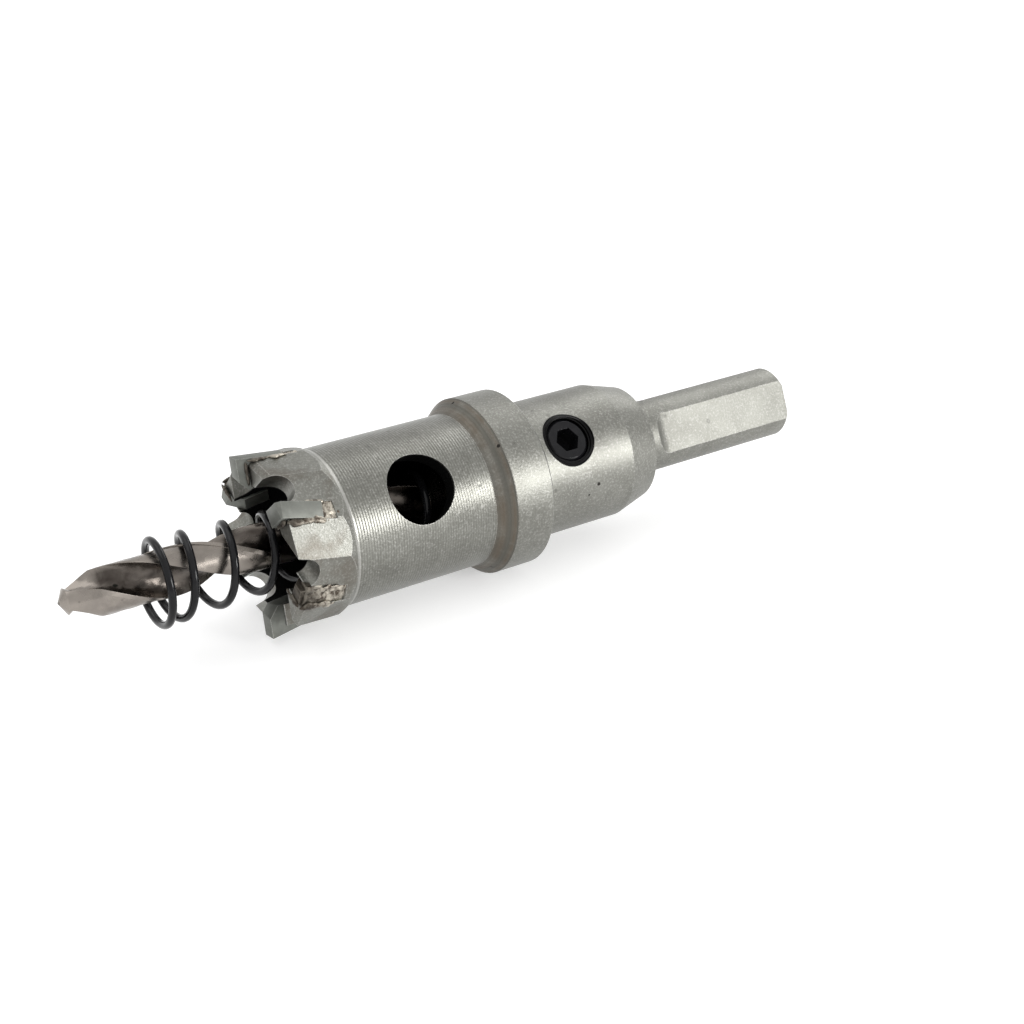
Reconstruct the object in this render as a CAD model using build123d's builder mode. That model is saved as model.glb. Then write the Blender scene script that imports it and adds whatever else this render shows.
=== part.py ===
"""Hole saw of hardened steel with brazed carbide tips, a pilot drill and an ejector spring.

The tool lies on its side, and its axis is X. The shank's end points to +X and the teeth to -X.
The origin is the centre of the shank's end face. Angles go round the axis from +Y towards +Z.
"""

from build123d import *
from math import acos, atan2, cos, degrees, radians, sin, sqrt, tan
import os

os.makedirs("parts", exist_ok=True)

# Lengths along the axis, from the shank's end to the teeth
shank_length = 26.4
hub_taper_length = 5.1
hub_length = 14.7
collar_length = 5.6
collar_cone_length = 2.2
barrel_length = 19.6
rim_length = 8.2
rim_bevel_length = 1.5
cup_depth = 28.0
drill_bore_depth = 21.0

# Diameters and angles of the turned body
shank_diameter = 10.0
hub_end_diameter = 15.6
hub_diameter = 18.4
collar_diameter = 23.6
barrel_diameter = 20.3
rim_diameter = 21.8
cup_bore_diameter = 15.2
drill_bore_end_angle = 118.0

# Broken edges of the turned body
shank_end_chamfer = 0.4
shank_root_chamfer = 0.8
hub_end_chamfer = 0.4
collar_rear_chamfer = 0.25

# Milled flats of the shank
flat_count = 3
flat_angle = 155.9
flat_depth = 0.85
flat_length = 21.2
flat_runout_length = 2.5
flat_runout_bulge = 0.35

# Round chip window in the barrel
window_diameter = 9.0
window_angle = 142.0
window_from_step = 10.0

# Screw that clamps the drill
screw_diameter = 6.0
screw_sink = 0.5
screw_angle = 135.0
screw_from_collar = 5.8
screw_socket_width = 3.0
screw_socket_depth = 2.8
screw_point_chamfer = 0.9
screw_head_chamfer = 0.4
screw_hole_chamfer = 0.7

# Teeth of the rim, not quite evenly spaced
tooth_angles = (139.0, 199.0, 259.0, 323.0, 24.0, 79.0)
tooth_lean = 13.0
facet_lean = 10.0
back_facet_start = 9.0
back_facet_width = 25.8
gullet_radius = 1.9
gullet_depth = 2.6
back_bevel = 0.7
pocket_length = 4.7
pocket_runout_length = 3.0
pocket_runout_bulge = 0.5

# Carbide tips: a bevelled, a short and a pointed grind follow each other round the rim
cutting_diameter = 23.0
tip_thickness = 2.1
tip_inside = 0.3
tip_front_relief = 12.0
tip_flare = 0.35
bevelled_tip_reach = 1.0
bevelled_tip_bevel = 0.6
short_tip_reach = 0.4
short_tip_bevel = 1.9
short_tip_set_in = 0.7
pointed_tip_reach = 1.5
pointed_tip_bevel = 1.4

# Pilot drill
drill_diameter = 6.0
drill_reach = 25.5
drill_seat_length = 19.0
drill_point_angle = 120.0
drill_point_diameter = 3.2
drill_point_neck = 1.5
drill_shoulder_length = 4.0
drill_helix_pitch = 36.5
drill_flute_angle = 54.0
drill_flute_length = 48.0
drill_flute_radius = 2.5
drill_web = 1.5
drill_margin_width = 0.6
drill_margin_height = 0.12
drill_flat_depth = 0.5
drill_flat_length = 9.0
drill_rear_chamfer = 0.5
drill_section_sides = 16

# Ejector spring
spring_wire = 1.0
spring_diameter = 10.1
spring_flare = 1.3
spring_flare_turns = 3.5
spring_pitch = 5.3
spring_easing_turns = 1.7
spring_reach = 14.5
spring_sag = 0.9
spring_end_angle = 330.0
spring_runs_per_turn = 20
spring_wire_sides = 6

# Clearances between pieces that fit together
drill_clearance = 0.05
screw_clearance = 0.05
screw_seat_gap = 0.02
braze_gap = 0.08
spring_seat_gap = 0.05

# Stations of the turned body along X
hub_end_x = -shank_length
hub_taper_x = hub_end_x - hub_taper_length
collar_rear_x = hub_taper_x - hub_length
collar_front_x = collar_rear_x - collar_length
barrel_rear_x = collar_front_x - collar_cone_length
step_x = barrel_rear_x - barrel_length
rim_front_x = step_x - rim_length
cup_floor_x = rim_front_x + cup_depth
screw_x = collar_rear_x + screw_from_collar

# Radii and heights that more than one piece uses
shank_radius = shank_diameter / 2
hub_radius = hub_diameter / 2
rim_radius = rim_diameter / 2
cup_radius = cup_bore_diameter / 2
drill_radius = drill_diameter / 2
drill_flat_height = drill_radius - drill_flat_depth
full_turn = 360
grind_count = 3
beyond = 1.0


def radial(angle):
    """The direction straight out from the axis at an angle."""
    return Vector(0, cos(radians(angle)), sin(radians(angle)))


def tangential(angle):
    """The direction round the axis at an angle, the way the angles grow."""
    return Vector(0, -sin(radians(angle)), cos(radians(angle)))


def meridian_plane(angle):
    """The plane through the axis at an angle, with local x along the axis and local y straight out."""
    return Plane(origin=(0, 0, 0), x_dir=(1, 0, 0), z_dir=tangential(angle))


def facing_plane(x, angle):
    """The plane through a point of the axis that faces straight out at an angle."""
    return Plane(origin=(x, 0, 0), x_dir=(1, 0, 0), z_dir=radial(angle))


def polar(radius, angle):
    """A point of a section across the axis."""
    return (radius * cos(radians(angle)), radius * sin(radians(angle)))


def circles_at(solid, x, radius):
    """The circular edges of a solid at a station, with a radius."""
    circles = solid.edges().filter_by(GeomType.CIRCLE)
    return circles.filter_by(lambda e: abs(e.arc_center.X - x) < 0.01 and abs(e.radius - radius) < 0.01)


# Teeth: each pocket leans, and the point of the axis abreast of its rear end is the tooth's reference
tip_rear_x = rim_front_x + pocket_length * cos(radians(tooth_lean))
tip_floor = cup_radius - tip_inside


def lean_direction(angle):
    """The direction of the pocket of the tooth at an angle, towards the shank."""
    return Vector(1, 0, 0) * cos(radians(tooth_lean)) + tangential(angle) * sin(radians(tooth_lean))


def tooth_face(angle):
    """The plane that faces straight out at a tooth, with local x along the pocket and y ahead."""
    return Plane(origin=(tip_rear_x, 0, 0), x_dir=lean_direction(angle), z_dir=radial(angle))


def tooth_side(angle):
    """The plane along a tooth's pocket, with local x along the pocket and local y straight out."""
    along = lean_direction(angle)
    return Plane(origin=(tip_rear_x, 0, 0), x_dir=along, z_dir=along.cross(radial(angle)))


# Rim facets: a prism with a flat behind each tooth and one between teeth, twisted along the lean
facet_twist = degrees(tan(radians(facet_lean)) / rim_radius)
back_flat_height = rim_radius * cos(radians(back_facet_width / 2))


def back_centre_angle(angle, x):
    """The angle of the middle of the flat behind the tooth at an angle, at a station."""
    return angle + back_facet_start + back_facet_width / 2 + facet_twist * (x - step_x)


def facet_corners(x):
    """The corners of the faceted rim's section at a station."""
    corners = []
    for angle in sorted(tooth_angles):
        corners.append(polar(rim_radius, back_centre_angle(angle, x) - back_facet_width / 2))
        corners.append(polar(rim_radius, back_centre_angle(angle, x) + back_facet_width / 2))
    return corners


with BuildPart() as rim_waste:
    with BuildSketch(Plane.YZ.offset(rim_front_x - beyond)):
        Circle(rim_radius + beyond)
    extrude(amount=rim_length + beyond)
    for section_x in (rim_front_x - beyond, step_x):
        with BuildSketch(Plane.YZ.offset(section_x)):
            with BuildLine():
                Polyline(*facet_corners(section_x), close=True)
            make_face()
    loft(ruled=True, mode=Mode.SUBTRACT)

# Body: one turned profile, then the drill's bore and the flats, holes, facets and teeth
with BuildPart() as cutter_body:
    with BuildSketch(Plane.XY):
        with BuildLine():
            Polyline(
                (0, 0),
                (0, shank_radius),
                (hub_end_x, shank_radius),
                (hub_end_x, hub_end_diameter / 2),
                (hub_taper_x, hub_radius),
                (collar_rear_x, hub_radius),
                (collar_rear_x, collar_diameter / 2),
                (collar_front_x, collar_diameter / 2),
                (barrel_rear_x, barrel_diameter / 2),
                (step_x, barrel_diameter / 2),
                (step_x - rim_bevel_length, rim_radius),
                (rim_front_x, rim_radius),
                (rim_front_x, cup_radius),
                (cup_floor_x, cup_radius),
                (cup_floor_x, 0),
                close=True,
            )
        make_face()
    revolve(axis=Axis.X)
    chamfer(circles_at(cutter_body, hub_end_x, shank_radius), shank_root_chamfer)
    chamfer(circles_at(cutter_body, 0, shank_radius), shank_end_chamfer)
    chamfer(circles_at(cutter_body, hub_end_x, hub_end_diameter / 2), hub_end_chamfer)
    chamfer(circles_at(cutter_body, collar_rear_x, collar_diameter / 2), collar_rear_chamfer)

    # Drill bore, blind, with the cone that a drill leaves
    bore_radius = drill_radius + drill_clearance
    bore_end_x = cup_floor_x + drill_bore_depth
    with BuildSketch(Plane.XY):
        with BuildLine():
            Polyline(
                (cup_floor_x - beyond, 0),
                (cup_floor_x - beyond, bore_radius),
                (bore_end_x, bore_radius),
                (bore_end_x + bore_radius / tan(radians(drill_bore_end_angle / 2)), 0),
                close=True,
            )
        make_face()
    revolve(axis=Axis.X, mode=Mode.SUBTRACT)

    # Three flats of the shank, each with the cutter's curved run-out by the hub
    flat_height = shank_radius - flat_depth
    runout_x = -flat_length - flat_runout_length
    for k in range(flat_count):
        with BuildSketch(meridian_plane(flat_angle + k * full_turn / flat_count)):
            with BuildLine():
                Polyline((beyond, shank_radius + beyond), (beyond, flat_height), (-flat_length, flat_height))
                SagittaArc((-flat_length, flat_height), (runout_x, shank_radius), flat_runout_bulge)
                Polyline(
                    (runout_x, shank_radius),
                    (runout_x, shank_radius + beyond),
                    (beyond, shank_radius + beyond),
                )
            make_face()
        extrude(amount=shank_radius, both=True, mode=Mode.SUBTRACT)

    # Chip window, through the near wall only
    with BuildSketch(facing_plane(step_x + window_from_step, window_angle)):
        Circle(window_diameter / 2)
    extrude(amount=barrel_diameter, mode=Mode.SUBTRACT)

    # Hole for the clamping screw, from the hub's surface to the drill's bore, widening at its mouth
    hole_radius = screw_diameter / 2 + screw_clearance
    screw_hole_taper = -degrees(atan2(screw_hole_chamfer, screw_sink))
    with BuildSketch(facing_plane(screw_x, screw_angle)):
        Circle(hole_radius)
    extrude(amount=hub_diameter, mode=Mode.SUBTRACT)
    with BuildSketch(facing_plane(screw_x, screw_angle).offset(hub_radius - screw_sink)):
        Circle(hole_radius)
    extrude(amount=screw_sink + screw_hole_chamfer, taper=screw_hole_taper, mode=Mode.SUBTRACT)

    # Facets of the rim
    add(rim_waste.part, mode=Mode.SUBTRACT)

    # Gullet and pocket of each tooth, and the bevel on the steel behind all but the bevelled tips
    gullet_offset = tip_thickness / 2 + gullet_radius
    gullet_root = (
        rim_front_x + gullet_depth - tip_rear_x - gullet_offset * sin(radians(tooth_lean))
    ) / cos(radians(tooth_lean))
    pocket_floor = tip_floor - braze_gap
    pocket_top = rim_radius + beyond
    pocket_front = -pocket_length - gullet_radius
    for k, angle in enumerate(tooth_angles):
        with BuildSketch(tooth_face(angle)):
            with Locations((gullet_root - gullet_radius, gullet_offset)):
                Circle(gullet_radius)
                Rectangle(rim_length, 2 * gullet_radius, align=(Align.MAX, Align.CENTER))
        extrude(amount=rim_radius + beyond, mode=Mode.SUBTRACT)
        with BuildSketch(tooth_side(angle)):
            with BuildLine():
                Polyline((pocket_front, pocket_top), (pocket_front, pocket_floor), (braze_gap, pocket_floor))
                SagittaArc(
                    (braze_gap, pocket_floor), (pocket_runout_length, pocket_top), pocket_runout_bulge
                )
                Line((pocket_runout_length, pocket_top), (pocket_front, pocket_top))
            make_face()
        extrude(amount=tip_thickness / 2 + braze_gap, both=True, mode=Mode.SUBTRACT)
        if k % grind_count != 0:
            with BuildSketch(meridian_plane(back_centre_angle(angle, rim_front_x))):
                with BuildLine():
                    Polyline(
                        (rim_front_x - beyond, back_flat_height - back_bevel - beyond),
                        (rim_front_x - beyond, back_flat_height + beyond),
                        (rim_front_x + back_bevel + beyond, back_flat_height + beyond),
                        close=True,
                    )
                make_face()
            extrude(amount=rim_radius * sin(radians(back_facet_width)), both=True, mode=Mode.SUBTRACT)
cutter_body.part.label = "cutter_body"
export_step(cutter_body.part, "parts/cutter_body.step")


def tip_outline(grind):
    """The side view of a carbide tip, from its rear end, in the plane along its pocket."""
    reach = (bevelled_tip_reach, short_tip_reach, pointed_tip_reach)[grind]
    set_in = (0, short_tip_set_in, 0)[grind]
    outer_bevel = (bevelled_tip_bevel, 0, 0)[grind]
    inner_bevel = (0, short_tip_bevel, pointed_tip_bevel)[grind]
    length = pocket_length + reach / cos(radians(tooth_lean))
    lead = length * sin(radians(tooth_lean)) + tip_thickness / 2
    top = sqrt((cutting_diameter / 2) ** 2 - lead**2) - set_in
    corners = [(0, tip_floor), (0, top - tip_flare), (outer_bevel - length, top)]
    if outer_bevel:
        corners.append((-length, top - outer_bevel))
    if inner_bevel:
        corners.append((-length, tip_floor + inner_bevel))
    corners.append((inner_bevel - length, tip_floor))
    return length, corners


def carbide_tip(k):
    """The carbide tip of tooth k."""
    length, corners = tip_outline(k % grind_count)
    relief = tan(radians(tip_front_relief))
    with BuildPart() as tip:
        with BuildSketch(tooth_side(tooth_angles[k])):
            with BuildLine():
                Polyline(*corners, close=True)
            make_face()
        extrude(amount=tip_thickness / 2, both=True)

        # Front ground back from the cutting edge
        with BuildSketch(tooth_face(tooth_angles[k])):
            with BuildLine():
                Polyline(
                    (beyond, -tip_thickness),
                    (beyond, tip_thickness),
                    (-length - tip_thickness / 2 * relief, tip_thickness),
                    (-length + tip_thickness * 3 / 2 * relief, -tip_thickness),
                    close=True,
                )
            make_face()
        extrude(amount=cutting_diameter, mode=Mode.INTERSECT)
    return tip.part


for k in range(len(tooth_angles)):
    tip = carbide_tip(k)
    tip.label = f"carbide_tip_{k + 1}"
    export_step(tip, f"parts/{tip.label}.step")

# Pilot drill: a fluted section twisted along the axis, then the shank, the point and the screw's flat
flute_count = 2
drill_tip_x = rim_front_x - drill_reach
drill_rear_x = cup_floor_x + drill_seat_length
flute_end_x = drill_tip_x + drill_flute_length
point_length = drill_point_diameter / 2 / tan(radians(drill_point_angle / 2))
flute_distance = drill_web / 2 + drill_flute_radius
flute_half_angle = degrees(
    acos((drill_radius**2 + flute_distance**2 - drill_flute_radius**2) / (2 * drill_radius * flute_distance))
)
margin_angle = drill_flute_angle + flute_half_angle + degrees(drill_margin_width / 2 / drill_radius)
with BuildPart() as pilot_drill:
    with BuildSketch(Plane.YZ.offset(drill_tip_x)):
        RegularPolygon(drill_radius - drill_margin_height, drill_section_sides)
        with PolarLocations(drill_radius, flute_count, start_angle=margin_angle):
            Rectangle(4 * drill_margin_height, drill_margin_width)
        with PolarLocations(flute_distance, flute_count, start_angle=drill_flute_angle):
            RegularPolygon(drill_flute_radius, drill_section_sides, mode=Mode.SUBTRACT)
    with BuildLine() as drill_axis:
        Line((drill_tip_x, 0, 0), (flute_end_x, 0, 0))
    with BuildLine() as drill_twist:
        Helix(
            pitch=drill_helix_pitch,
            height=drill_flute_length,
            radius=drill_radius,
            center=(drill_tip_x, 0, 0),
            direction=(1, 0, 0),
        )
    sweep(path=drill_axis.line, binormal=drill_twist.edge())
    with BuildSketch(Plane.YZ.offset(flute_end_x)):
        Circle(drill_radius)
    extrude(amount=drill_rear_x - flute_end_x)
    with BuildSketch(Plane.XY):
        with BuildLine():
            Polyline(
                (drill_tip_x, 0),
                (drill_tip_x + point_length, drill_point_diameter / 2),
                (drill_tip_x + point_length + drill_shoulder_length, drill_radius),
                (drill_rear_x - drill_rear_chamfer, drill_radius),
                (drill_rear_x, drill_radius - drill_rear_chamfer),
                (drill_rear_x, 0),
                close=True,
            )
        make_face()
    revolve(axis=Axis.X, mode=Mode.INTERSECT)

    # Short pointed nose, necked down to the web between the flutes
    with BuildSketch(Plane.XZ):
        with BuildLine():
            Polyline(
                (drill_tip_x, 0),
                (drill_tip_x + point_length, drill_point_diameter / 2),
                (drill_tip_x + point_length + drill_point_neck, drill_web / 2),
                (drill_tip_x + point_length + drill_point_neck, 0),
                close=True,
            )
        make_face()
    revolve(axis=Axis.X)

    # Flat under the clamping screw
    with BuildSketch(facing_plane(screw_x, screw_angle).offset(drill_flat_height)):
        Rectangle(drill_flat_length, drill_diameter)
    extrude(amount=drill_flat_depth + beyond, mode=Mode.SUBTRACT)
pilot_drill.part.label = "pilot_drill"
export_step(pilot_drill.part, "parts/pilot_drill.step")

# Ejector spring: wire wound left-handed, flared at the front, hanging a little below the drill's axis.
# The pitch grows from nothing over the first turns and falls back over the last.
# Each turn is made of short straight runs, and the corners of the wire's section lie on its round surface.
spring_front_x = rim_front_x - spring_reach + spring_wire / 2
spring_rear_x = cup_floor_x - spring_seat_gap - spring_wire / 2
spring_mean_radius = (spring_diameter - spring_wire) / 2
spring_turns = (spring_rear_x - spring_front_x) / spring_pitch + spring_easing_turns


def eased_turns(turn):
    """How many pitches the wire has climbed after a number of turns from its front end."""
    left = spring_turns - turn
    if turn < spring_easing_turns:
        return turn**2 / (2 * spring_easing_turns)
    if left < spring_easing_turns:
        return spring_turns - spring_easing_turns - left**2 / (2 * spring_easing_turns)
    return turn - spring_easing_turns / 2


def spring_point(turn):
    """A point of the wire's centre line, a number of turns from the front end."""
    angle = spring_end_angle - full_turn * turn
    flare = spring_flare / 2 * max(1 - turn / spring_flare_turns, 0)
    y, z = polar(spring_mean_radius + flare, angle)
    return (spring_front_x + spring_pitch * eased_turns(turn), y, z - spring_sag)


spring_runs = round(spring_turns * spring_runs_per_turn)
with BuildPart() as ejector_spring:
    with BuildLine() as spring_wire_line:
        Polyline(*[spring_point(spring_turns * i / spring_runs) for i in range(spring_runs + 1)])
    with BuildSketch(Plane(spring_wire_line.line @ 0, z_dir=spring_wire_line.line % 0)):
        RegularPolygon(spring_wire / 2, spring_wire_sides)
    sweep(path=spring_wire_line.line, transition=Transition.RIGHT)
ejector_spring.part.label = "ejector_spring"
export_step(ejector_spring.part, "parts/ejector_spring.step")

# Clamping screw: headless, from just under the hub's surface down to the drill's flat
screw_top = hub_radius - screw_sink
screw_bottom = drill_flat_height + screw_seat_gap
with BuildPart() as set_screw:
    with BuildSketch(facing_plane(screw_x, screw_angle).offset(screw_bottom)):
        Circle(screw_diameter / 2)
    extrude(amount=screw_top - screw_bottom)
    point_face = set_screw.faces().filter_by(GeomType.PLANE).sort_by_distance((screw_x, 0, 0))[0]
    chamfer(point_face.edges(), screw_point_chamfer)
    head_face = set_screw.faces().filter_by(GeomType.PLANE).sort_by_distance((screw_x, 0, 0))[-1]
    chamfer(head_face.edges(), screw_head_chamfer)
    with BuildSketch(facing_plane(screw_x, screw_angle).offset(screw_top)):
        RegularPolygon(screw_socket_width / 2, side_count=6, major_radius=False)
    extrude(amount=-screw_socket_depth, mode=Mode.SUBTRACT)
set_screw.part.label = "set_screw"
export_step(set_screw.part, "parts/set_screw.step")
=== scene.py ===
"""Looks of a carbide-tipped hole saw: finishes, edges, braze, spring, floor, light and camera.

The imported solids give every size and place. Lengths are in metres where nothing else is said.
The tool's axis is X, its teeth look to -X, and angles go round the axis from +Y towards +Z.
"""

import logging
import math
from dataclasses import dataclass
from enum import Enum

import bmesh
import bpy
from mathutils import Euler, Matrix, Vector, noise


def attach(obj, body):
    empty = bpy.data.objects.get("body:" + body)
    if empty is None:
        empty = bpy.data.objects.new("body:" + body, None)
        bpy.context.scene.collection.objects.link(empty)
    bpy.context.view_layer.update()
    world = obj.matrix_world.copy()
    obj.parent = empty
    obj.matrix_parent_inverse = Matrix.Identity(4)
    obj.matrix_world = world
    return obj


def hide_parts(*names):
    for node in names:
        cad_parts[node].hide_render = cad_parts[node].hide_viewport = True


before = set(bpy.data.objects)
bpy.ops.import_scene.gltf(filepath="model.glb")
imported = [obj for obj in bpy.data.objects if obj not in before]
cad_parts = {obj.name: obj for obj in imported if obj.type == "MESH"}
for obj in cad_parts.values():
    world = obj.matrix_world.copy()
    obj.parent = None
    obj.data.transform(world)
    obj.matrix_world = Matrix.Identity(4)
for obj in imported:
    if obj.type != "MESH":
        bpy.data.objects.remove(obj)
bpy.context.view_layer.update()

log = logging.getLogger("hole_saw")
MM = 0.001
BODY = "root"
TOOL_AXIS = (1.0, 0.0, 0.0)
WHITE = (1.0, 1.0, 1.0)

Tree = bpy.types.NodeTree
Node = bpy.types.Node
Socket = bpy.types.NodeSocket
Outputs = bpy.types.NodeOutputs
Material = bpy.types.Material
Object = bpy.types.Object
BMesh = bmesh.types.BMesh
Colour = tuple[float, float, float]
Place = tuple[float, float, float]


class Slot(Enum):
    """The record's material slots."""

    STEEL = "body_steel"
    CARBIDE = "carbide"
    DRILL = "drill_steel"
    BLACK = "black_steel"


@dataclass(frozen=True)
class Span:
    """A stretch of a value, and the numbers that its start and its end become."""

    start: float
    end: float
    low: float = 0.0
    high: float = 1.0


# ---- Small helpers for node trees


# The Mix node has inputs and outputs of every kind. These are its share, its two colours and
# the colour that it gives.
MIX_INPUTS = (0, 6, 7)
MIX_RESULT = 2


def feed(tree: Tree, socket: Socket, value: object) -> None:
    """Link a socket to an input, or set the input's own value.

    Args:
        tree: the tree that holds the input.
        socket: the input.
        value: a socket, a number, a vector or a colour, or None to leave the input alone.
    """
    if isinstance(value, Socket):
        tree.links.new(value, socket)
    elif value is not None:
        socket.default_value = (*value, 1.0) if socket.type == "RGBA" else value


def add_node(tree: Tree, kind: str, **values: object) -> Node:
    """Add a node, set its properties and feed its inputs.

    Args:
        tree: the tree that gets the node.
        kind: the node's type name, without ShaderNode.
        values: properties by name, and inputs as in_NAME with _ for each space.

    Returns:
        The new node.
    """
    made = tree.nodes.new(f"ShaderNode{kind}")
    for name, value in values.items():
        if name.startswith("in_"):
            feed(tree, made.inputs[name[3:].replace("_", " ")], value)
        else:
            setattr(made, name, value)
    return made


def maths(tree: Tree, operation: str, first: object, second: object = None,
          third: object = None, clamp: bool = False) -> Socket:
    """Add a Math node.

    Args:
        tree: the tree that gets the node.
        operation: the node's operation.
        first, second, third: numbers or sockets.
        clamp: whether the value stays between 0 and 1.

    Returns:
        The node's value.
    """
    made = add_node(tree, "Math", operation=operation, use_clamp=clamp)
    for socket, value in zip(made.inputs, (first, second, third)):
        feed(tree, socket, value)
    return made.outputs["Value"]


def both(tree: Tree, one: object, two: object) -> Socket:
    """Where two masks hold together: their product."""
    return maths(tree, "MULTIPLY", one, two)


def either(tree: Tree, one: object, two: object) -> Socket:
    """Where one mask or the other holds: the greater of them."""
    return maths(tree, "MAXIMUM", one, two)


def raised(tree: Tree, base: object, value: object, factor: object) -> Socket:
    """A base with a value times a factor added to it."""
    return maths(tree, "MULTIPLY_ADD", value, factor, base)


def vector_maths(tree: Tree, operation: str, first: object, second: object = None) -> Node:
    """Add a Vector Math node.

    Args:
        tree: the tree that gets the node.
        operation: the node's operation.
        first, second: vectors or sockets.

    Returns:
        The node, whose outputs are Vector and Value.
    """
    made = add_node(tree, "VectorMath", operation=operation)
    for socket, value in zip(made.inputs, (first, second)):
        feed(tree, socket, value)
    return made


def mixed(tree: Tree, share: object, low: object, high: object) -> Socket:
    """Mix two colours.

    Args:
        tree: the tree that gets the node.
        share: a number or a socket, 0 for low and 1 for high.
        low, high: colours or sockets.

    Returns:
        The mixed colour.
    """
    made = add_node(tree, "Mix", data_type="RGBA")
    for index, value in zip(MIX_INPUTS, (share, low, high)):
        feed(tree, made.inputs[index], value)
    return made.outputs[MIX_RESULT]


def ranged(tree: Tree, value: Socket, span: Span) -> Socket:
    """Map a stretch of a value, clamped at both ends.

    Args:
        tree: the tree that gets the node.
        value: the value.
        span: the stretch and what it becomes.

    Returns:
        The mapped value.
    """
    made = add_node(tree, "MapRange", clamp=True, in_Value=value, in_From_Min=span.start,
                    in_From_Max=span.end, in_To_Min=span.low, in_To_Max=span.high)
    return made.outputs["Result"]


def new_material(name: str) -> tuple[Material, Tree]:
    """Make a material with an empty node tree.

    Args:
        name: the material's name.

    Returns:
        The material and its tree.
    """
    material = bpy.data.materials.new(name)
    material.use_nodes = True
    material.node_tree.nodes.clear()
    return material, material.node_tree


# ---- Effects that several finishes share


def new_group(name: str, vectors: tuple[str, ...], numbers: dict[str, float],
              outputs: tuple[str, ...]) -> tuple[Tree, Node, Node]:
    """Make a shader node group.

    Args:
        name: the group's name.
        vectors: the names of its vector inputs.
        numbers: its number inputs by name, with their values.
        outputs: the names of its outputs, all numbers.

    Returns:
        The group, its input node and its output node.
    """
    group = bpy.data.node_groups.new(name, "ShaderNodeTree")
    sockets = group.interface
    for label in vectors:
        sockets.new_socket(name=label, in_out="INPUT", socket_type="NodeSocketVector")
    for label, value in numbers.items():
        made = sockets.new_socket(name=label, in_out="INPUT", socket_type="NodeSocketFloat")
        made.default_value = value
    for label in outputs:
        sockets.new_socket(name=label, in_out="OUTPUT", socket_type="NodeSocketFloat")
    return group, group.nodes.new("NodeGroupInput"), group.nodes.new("NodeGroupOutput")


def lathe_rings_group(waver_scale: float = 900.0, tone_step: float = 0.37) -> Tree:
    """Fine rings that a lathe leaves round the axis: a height and a slow change of tone.

    Args:
        waver_scale: how fine the waver of the rings is.
        tone_step: how far the tone moves on with each ring.

    Returns:
        The group.
    """
    group, inside, outside = new_group(
        "lathe rings", ("Vector",), {"Pitch": 0.37 * MM, "Wander": 0.15}, ("Height", "Tone")
    )
    vector = inside.outputs["Vector"]
    parts = add_node(group, "SeparateXYZ", in_Vector=vector)
    along = maths(group, "DIVIDE", parts.outputs["X"], inside.outputs["Pitch"])
    waver = add_node(group, "TexNoise", in_Vector=vector, in_Scale=waver_scale, in_Detail=1.0)
    shifted = raised(group, along, waver.outputs["Fac"], inside.outputs["Wander"])
    wave = maths(group, "SINE", maths(group, "MULTIPLY", shifted, 2 * math.pi))
    slow = add_node(group, "TexNoise", noise_dimensions="1D", in_Scale=1.0, in_Detail=3.0,
                    in_W=maths(group, "MULTIPLY", along, tone_step))
    feed(group, outside.inputs["Height"], raised(group, 0.5, wave, 0.5))
    feed(group, outside.inputs["Tone"], slow.outputs["Fac"])
    return group


def grain_group(speck_limit: float = 0.94, speck_rim: Span = Span(0.28, 0.1),
                broad_height: float = 0.25) -> Tree:
    """Grain of blasted or ground metal: fine grain, broad clouds, sparse specks and a height.

    Args:
        speck_limit: the share of the cells that stay without a speck.
        speck_rim: the distances from a cell's middle at which its speck starts and is full.
        broad_height: how much of the clouds the height has.

    Returns:
        The group.
    """
    group, inside, outside = new_group(
        "metal grain", ("Vector",), {"Grain": 4000.0, "Cloud": 260.0, "Speck": 900.0},
        ("Fine", "Broad", "Specks", "Height"),
    )
    given = inside.outputs
    fine = add_node(group, "TexNoise", in_Vector=given["Vector"], in_Scale=given["Grain"],
                    in_Detail=4.0, in_Roughness=0.65).outputs["Fac"]
    broad = add_node(group, "TexNoise", in_Vector=given["Vector"], in_Scale=given["Cloud"],
                     in_Detail=4.0, in_Roughness=0.55, in_Distortion=0.4).outputs["Fac"]
    cells = add_node(group, "TexVoronoi", in_Vector=given["Vector"], in_Scale=given["Speck"])
    hue = add_node(group, "SeparateColor", in_Color=cells.outputs["Color"])
    chosen = maths(group, "GREATER_THAN", hue.outputs["Red"], speck_limit)
    specks = both(group, chosen, ranged(group, cells.outputs["Distance"], speck_rim))
    height = raised(group, fine, broad, broad_height)
    for label, value in (("Fine", fine), ("Broad", broad), ("Specks", specks), ("Height", height)):
        feed(group, outside.inputs[label], value)
    return group


def spot_group(rough_scale: float = 2600.0, rough_share: float = 0.8,
               rim: Span = Span(1.1, 0.6)) -> Tree:
    """A round spot at a point, with a soft rim, broken by noise.

    Args:
        rough_scale: how fine the noise is.
        rough_share: how far the noise moves the rim, in radii.
        rim: the distances at which the spot starts and is full, in radii.

    Returns:
        The group.
    """
    group, inside, outside = new_group(
        "spot", ("Vector", "Centre"), {"Radius": 0.3 * MM}, ("Mask",)
    )
    given = inside.outputs
    gap = vector_maths(group, "DISTANCE", given["Vector"], given["Centre"])
    rough = add_node(group, "TexNoise", in_Vector=given["Vector"], in_Scale=rough_scale,
                     in_Detail=2.0)
    share = maths(group, "DIVIDE", gap.outputs["Value"], given["Radius"])
    shift = raised(group, -rough_share / 2, rough.outputs["Fac"], rough_share)
    broken = maths(group, "ADD", share, shift)
    feed(group, outside.inputs["Mask"], ranged(group, broken, rim))
    return group


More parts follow.
